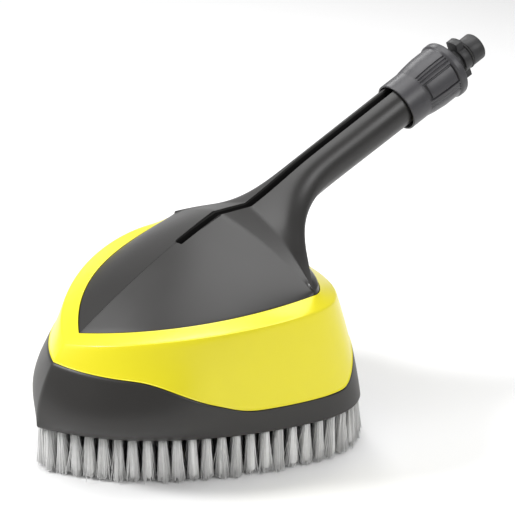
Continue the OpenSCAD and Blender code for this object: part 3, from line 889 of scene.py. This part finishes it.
# %% Collar section
def collar_section():
    """Pairs of place along the axis and radius, round the closed section, and where relief goes."""
    outer_a = np.linspace(.0009, .0492, 120)
    outer_r = np.interp(outer_a, [0, .018, .024, .036, .0495], [.0202, .0202, .0211, .0222, .0225])
    rim = [(.030, .0187), (.0004, .0187), (.0001, .0189), (0, .0193),
           (0, .0197), (.0002, .0200), (.0005, .0202)]
    flange = [(.0497, .0227), (.0502, .0232), (.0506, .0236), (.0512, .02385), (.0520, .0239),
              (.0550, .0239), (.0558, .0238), (.0563, .0235), (COLLAR_LEN, .0230),
              (COLLAR_LEN, .0180), (.0563, .01762), (.0559, .0176), (.0496, .0176),
              (.0495, .0141), (.0322, .0141), (.0310, .0180)]
    smooth_r = outer_r + .0003 * np.sin(pi * np.clip((outer_a - .018) / .031, 0, 1))
    points = rim + list(zip(outer_a, smooth_r)) + flange
    carved = [0] * len(rim) + [1] * len(outer_a) + [0] * len(flange)
    return np.array(points), np.array(carved)


TURNS = np.linspace(0, 2 * pi, 420, endpoint=False)
section, carved = collar_section()
spokes = np.sin(TURNS)[:, None] * SIDE + np.cos(TURNS)[:, None] * ABOVE
rows = []
for (a, r), on in zip(section, carved):
    radius = (r + on * relief(a, TURNS))[:, None]
    rows.append(RIM + a * ALONG + radius * spokes)
collar = settle(lattice("collar_shell", rows, wrap_rows=True, wrap_columns=True), sharp=50)
dress(collar, "coupling", "collar_plastic", collar_plastic, "coupling_collar")

# %% [markdown]
# ## Parts that keep their CAD shape
# Nozzles, seals, screws, the lever and the bayonet nipple are exact in the CAD model, so they
# stay. Real moulded and turned edges are never razor sharp, so a Weld modifier closes the
# mesh and a Bevel modifier breaks the edges by a fraction of a millimetre.

# %% Finishes of the CAD nodes
CAD_FINISH = {"inner_plastic": inner_plastic, "nipple_plastic": nipple_plastic,
              "pipe_plastic": pipe_plastic, "skirt_plastic": skirt_plastic,
              "seal_rubber": seal_rubber, "brass": brass, "steel": steel}
BEVELS = {"bayonet_nipple": .0005, "release_lever": .0006,
          "nozzle_caps": .0003, "pipe_saddles": .0003}
for entry in frame["record"]["subparts"]:
    node = frame["nodes"][entry["node"]]
    if node.hide_render:
        continue
    node.data.materials.clear()
    node.data.materials.append(CAD_FINISH[entry["material_slot"]])
    if node.name in BEVELS:
        modify(node, "WELD", merge_threshold=.00001)
        modify(node, "BEVEL", width=BEVELS[node.name], segments=2, limit_method="ANGLE",
               angle_limit=radians(40), harden_normals=True)
print("CAD nodes still shown:", sum(not n.hide_render for n in frame["nodes"].values()))

# %% [markdown]
# ## Studio
# The head stands on a pale sweep. A soft light from the upper left gives the shadow on the
# right. Satin plastic shows its shape by what it mirrors, so one panel hangs where the cover's
# near face mirrors it, straight above, and two weaker ones where the round handle does.
# The Standard view keeps white paper white and the yellow saturated, where the filmic default
# would soften both.

# %% Floor
FLOOR_HALF = 12.0


def floor():
    finish = Finish("floor_paint", Roughness=0.9, Specular_IOR_Level=0.1)
    shades(finish, cloud(finish, 3, 2), (.90, .90, .90), (.93, .93, .93))
    far = FLOOR_HALF
    corners = [(-far, -far, 0), (far, -far, 0), (far, far, 0), (-far, far, 0)]
    mesh = bpy.data.meshes.new("floor")
    mesh.from_pydata(corners, [], [(0, 1, 2, 3)])
    piece = bpy.data.objects.new("floor", mesh)
    piece.location.z = low.z - .0002
    bpy.context.scene.collection.objects.link(piece)
    mesh.materials.append(finish.material)
    piece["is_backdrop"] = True


floor()

# %% Lights
LIT_SPOT = Vector((0, 0, .12))


def soft_light(name, toward, distance, size, watts):
    data = bpy.data.lights.new(name, "AREA")
    data.shape, data.size, data.energy = "DISK", size, watts
    light = bpy.data.objects.new(name, data)
    way = Vector(toward).normalized()
    light.location = LIT_SPOT + way * distance
    light.rotation_euler = way.to_track_quat("Z", "Y").to_euler()
    bpy.context.scene.collection.objects.link(light)


soft_light("key", back * .35 - across * 1.0 + upward * .8, 1.9, .45, 22)
soft_light("overhead", Vector((-.12, .08, 1)), 1.4, 1.1, 11)
soft_light("handle_sheen", Vector((.8, .25, .6)), 2.0, .8, 11)
soft_light("left_rim", Vector((-.8, .25, .65)), 2.0, .7, 8)
world = bpy.data.worlds.new("studio")
world.use_nodes = True
sky = world.node_tree.nodes["Background"]
sky.inputs["Color"].default_value = (1, 1, 1, 1)
sky.inputs["Strength"].default_value = 0.4
bpy.context.scene.world = world
bpy.context.scene.view_settings.view_transform = "Standard"

# %% [markdown]
# ## Sizes
# Last, the box of everything we made is printed next to the CAD box. They should agree to a
# millimetre, because the looks never change the size.

# %% Print the two boxes and finish
visual_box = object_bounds()
boxes = {"cad": [[float(v) for v in corner] for corner in cad_box],
         "visual": [[float(v) for v in corner] for corner in visual_box]}
for key, corners in boxes.items():
    print(key, "box in mm:", np.round(1000 * np.array(corners), 2).tolist())
